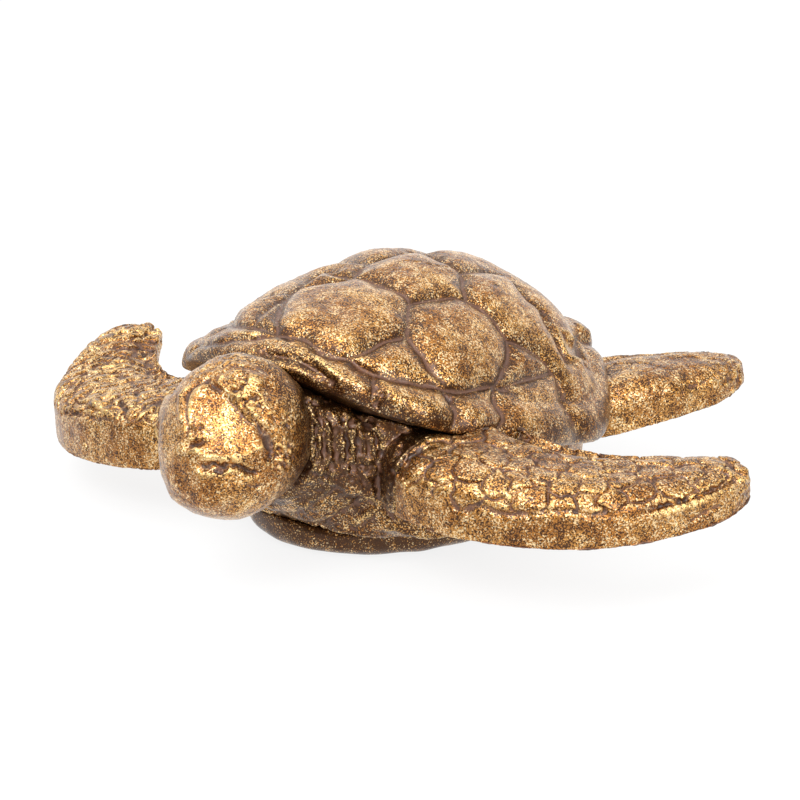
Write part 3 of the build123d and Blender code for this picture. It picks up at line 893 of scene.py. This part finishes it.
# painted shade over the whole base plate, which lies under the figure; the upper sides of the flippers are
# darker
painted_shade_and_thin_leaf["plastron"] = np.ones(len(plate.data.vertices))
for name, piece in flippers.items():
    painted_shade_and_thin_leaf[name] = 0.22 * from_to(normals_of(piece)[:, 2], 0, 1)
for node, piece in carvings.items():
    store(piece, "painted_shade_and_thin_leaf", painted_shade_and_thin_leaf[node])

# %% [markdown]
# ### Leaf, brown ground, wash and lacquer
# The finish is imitation gold leaf, broken up so that the brown ground shows through as specks. It is
# metal, so it takes its colour from what it reflects, tinted by its own. The wash in the hollows is
# matt paint. A thin lacquer lies over both, and at a flat angle it shines pale. Painted shade darkens
# the deepest hollows, the neck, the shell's rim and the base plate, and a painted highlight lies on the
# ridges.

# %% Start the gilt material with its noises
# the size in millimetres and the detail of each noise
noise_sizes = {"tone": (13, 2), "patch": (4.5, 3), "dent": (1.6, 3), "fleck": (0.62, 2), "speck": (0.5, 2),
               "grain": (0.38, 2)}
gilded_resin = bpy.data.materials.new("gilded_resin")
gilded_resin.use_nodes = True
tree = gilded_resin.node_tree
tree.nodes.clear()
place = add(tree, "TexCoord").outputs["Object"]
hollow = add(tree, "Attribute", attribute_name="hollow").outputs["Fac"]
shade_and_thin_leaf = add(tree, "Attribute", attribute_name="painted_shade_and_thin_leaf").outputs["Fac"]
noises = {}
for name, (size_mm, detail) in noise_sizes.items():
    settings = {"Vector": place, "Scale": 1 / (size_mm * mm), "Detail": detail, "Roughness": 0.55}
    noises[name] = add(tree, "TexNoise", settings).outputs["Fac"]
print("noises in mm:", {name: size for name, (size, _) in noise_sizes.items()})

# %% Work out the masks
soft = {"interpolation_type": "SMOOTHSTEP"}
# the flecks gather in patches
gathered = {"Value": noises["patch"], "From Min": 0.62, "From Max": 0.40, "To Min": -0.075, "To Max": 0.05}
gather = add(tree, "MapRange", gathered, **soft).outputs[0]
fleck = add(tree, "Math", {0: noises["fleck"], 1: gather}, operation="ADD").outputs[0]
# the leaf is thin in specks, in patches and in hollows, and the stored mask adds painted shade and thin leaf
thin_leaf_and_painted_shade = add(tree, "Math", {0: shade_and_thin_leaf, 1: 0.16, 2: noises["speck"]}, operation="MULTIPLY_ADD").outputs[0]
thin_leaf_and_painted_shade = add(tree, "Math", {0: noises["patch"], 1: 0.35, 2: thin_leaf_and_painted_shade}, operation="MULTIPLY_ADD").outputs[0]
thin_leaf_and_painted_shade = add(tree, "Math", {0: hollow, 1: 0.14, 2: thin_leaf_and_painted_shade}, operation="MULTIPLY_ADD").outputs[0]
# the wash lies in hollows, with an uneven edge
low = add(tree, "Math", {0: noises["patch"], 1: 0.25, 2: hollow}, operation="MULTIPLY_ADD").outputs[0]

# %% Lay the colours over each other
# each covers what lies under it, up to its share, as its mask goes from the first value to the second
layers = {
    "pale leaf": (noises["tone"], 0.38, 0.62, 1.0, "#e0a456"),
    "worn leaf": (noises["patch"], 0.52, 0.70, 0.35, "#9a5c26"),
    "grain": (noises["grain"], 0.42, 0.60, 0.7, "#6b4019"),
    "bright flecks": (fleck, 0.55, 0.61, 0.8, "#ffe2ae"),
    # leaf rubbed bright on what stands proud, with a painted highlight on the ridges
    "rubbed ridges and painted highlight": (hollow, 0.40, 0.15, 0.5, "#f6d28c"),
    # the brown ground shows in specks, and its colour also paints the shade from the stored mask
    "brown ground": (thin_leaf_and_painted_shade, 0.765, 0.80, 0.95, "#3f2412"),
    "wash": (low, 0.68, 0.95, 0.75, "#6d4835"),
    # painted shade: the deepest hollows are darkened nearly to black-brown
    "painted shade in deep hollows": (hollow, 0.80, 0.98, 0.7, "#2a180e"),
}
# the darker leaf lies under them all
colour = linear("#c08038")
shares = {}
for name, (mask, first, second, most, code) in layers.items():
    steps = {"Value": mask, "From Min": first, "From Max": second, "To Max": most}
    shares[name] = add(tree, "MapRange", steps, **soft).outputs[0]
    mix = add(tree, "Mix", {0: shares[name], 6: colour, 7: linear(code)}, data_type="RGBA")
    colour = mix.outputs[2]

# %% Give it the gloss of leaf under lacquer
# the wash is rougher than the leaf, and much less of a metal
wash = shares["wash"]
rough = add(tree, "Math", {0: noises["fleck"], 1: 0.2, 2: 0.22}, operation="MULTIPLY_ADD")
rough = add(tree, "Math", {0: wash, 1: 0.22, 2: rough.outputs[0]}, operation="MULTIPLY_ADD")
metal = add(tree, "Math", {0: wash, 1: -0.75, 2: 0.94}, operation="MULTIPLY_ADD")
# dents, specks and grain stand up together as one bump
height = add(tree, "Math", {0: noises["dent"], 1: 1.3, 2: noises["speck"]}, operation="MULTIPLY_ADD")
height = add(tree, "Math", {0: noises["grain"], 1: 0.7, 2: height.outputs[0]}, operation="MULTIPLY_ADD")
bump = add(tree, "Bump", {"Height": height.outputs[0], "Strength": 0.75, "Distance": 0.2 * mm})
shader = add(tree, "BsdfPrincipled", {"Base Color": colour, "Roughness": rough.outputs[0],
                                      "Metallic": metal.outputs[0], "Normal": bump.outputs[0],
                                      "Coat Weight": 0.4, "Coat Roughness": 0.22})
add(tree, "OutputMaterial", {"Surface": shader.outputs[0]})
print("gilded resin:", len(tree.nodes), "nodes")

# %% Make the steel and the felt
plain_finishes = {}
for name, colour, metallic, roughness, grain_mm, strength in (
        ("drawn_steel_bar", "#a8a8aa", 1.0, 0.35, 0.4, 0.2),
        ("pressed_felt", "#3a3230", 0.0, 0.95, 0.5, 1.0)):
    finish = bpy.data.materials.new(name)
    finish.use_nodes = True
    tree = finish.node_tree
    tree.nodes.clear()
    place = add(tree, "TexCoord").outputs["Object"]
    grain = add(tree, "TexNoise", {"Vector": place, "Scale": 1 / (grain_mm * mm), "Detail": 3})
    bump = add(tree, "Bump", {"Height": grain.outputs["Fac"], "Strength": strength, "Distance": 0.1 * mm})
    shader = add(tree, "BsdfPrincipled", {"Base Color": linear(colour), "Metallic": metallic,
                                          "Roughness": roughness, "Normal": bump.outputs[0]})
    add(tree, "OutputMaterial", {"Surface": shader.outputs[0]})
    plain_finishes[name] = finish
steel_bar, pressed_felt = plain_finishes.values()

# %% Dress and place the pieces
for node, piece in carvings.items():
    piece.name = node + "_carved"
    piece.data.materials.append(gilded_resin)
    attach(piece, "root")
    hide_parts(node)
for node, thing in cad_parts.items():
    if node.endswith("_dowel"):
        thing.data.materials.clear()
        thing.data.materials.append(steel_bar)

felt = even(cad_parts["felt_pad"], "felt_sheet", grain_of["felt_pad"], rounds=1)
felt.data.materials.append(pressed_felt)
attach(felt, "root")
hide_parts("felt_pad")

# %% [markdown]
# ## The studio
# The photograph was taken on white paper under broad soft light. A wide sun from above and in front
# gives every view the same light. A world that is bright on one side gives the metal something to
# reflect, and two softboxes, one over the camera and one to its right, add the crisp highlights. The
# paper glows a little towards the camera and in reflections, so that it stays white and keeps only a
# faint shadow.

# %% Lay the paper
scene = bpy.context.scene
scene.view_settings.view_transform = "Standard"
bpy.ops.mesh.primitive_plane_add(size=8, location=(0, 0, 0))
floor = bpy.context.object
floor.name = "floor"
paper = bpy.data.materials.new("white_paper")
paper.use_nodes = True
tree = paper.node_tree
tree.nodes.clear()
path = add(tree, "LightPath").outputs
seen = add(tree, "Math", {0: path["Is Camera Ray"], 1: path["Is Glossy Ray"]}, operation="MAXIMUM")
seen = add(tree, "Math", {0: seen.outputs[0], 1: path["Is Transmission Ray"]}, operation="MAXIMUM")
glow = add(tree, "Math", {0: seen.outputs[0], 1: 0.85}, operation="MULTIPLY")
matt = add(tree, "BsdfDiffuse", {"Color": linear("#f4f4f4")})
white = add(tree, "Emission", {"Strength": 1.0})
blend = add(tree, "MixShader", {0: glow.outputs[0], 1: matt.outputs[0], 2: white.outputs[0]})
add(tree, "OutputMaterial", {"Surface": blend.outputs[0]})
floor.data.materials.append(paper)

# %% Light the scene
world = bpy.data.worlds.new("studio")
scene.world = world
world.use_nodes = True
tree = world.node_tree
direction = add(tree, "TexCoord").outputs["Generated"]
backdrop = Vector((-0.48, 0.64, 0.60)).normalized()
facing = add(tree, "VectorMath", {0: direction, 1: backdrop}, operation="DOT_PRODUCT")
# dim behind the camera and bright in the direction of the backdrop
levels = {"Value": facing.outputs["Value"], "From Min": -0.6, "From Max": 0.9, "To Min": 0.12, "To Max": 1.3}
sky = add(tree, "MapRange", levels, **soft)
tree.links.new(sky.outputs[0], tree.nodes["Background"].inputs["Color"])


def lamp(name, kind, place, energy, target=(0, 0, 0.04)):
    """Hang a lamp at a place in metres, turned to its target."""
    light = bpy.data.lights.new(name, kind)
    light.energy = energy
    thing = bpy.data.objects.new(name, light)
    thing.location = place
    thing.rotation_mode = "QUATERNION"
    thing.rotation_quaternion = (Vector(target) - Vector(place)).to_track_quat("-Z", "Y")
    scene.collection.objects.link(thing)
    return light


broad_sun = lamp("broad_sun", "SUN", (-0.05, -0.55, 1.0), 1.3)
broad_sun.angle = radians(70)
high_softbox = lamp("high_softbox", "AREA", (0.16, -0.92, 0.9), 8)
high_softbox.size = 0.5
side_softbox = lamp("side_softbox", "AREA", (1.1, -0.45, 0.5), 9)
side_softbox.size = 0.7
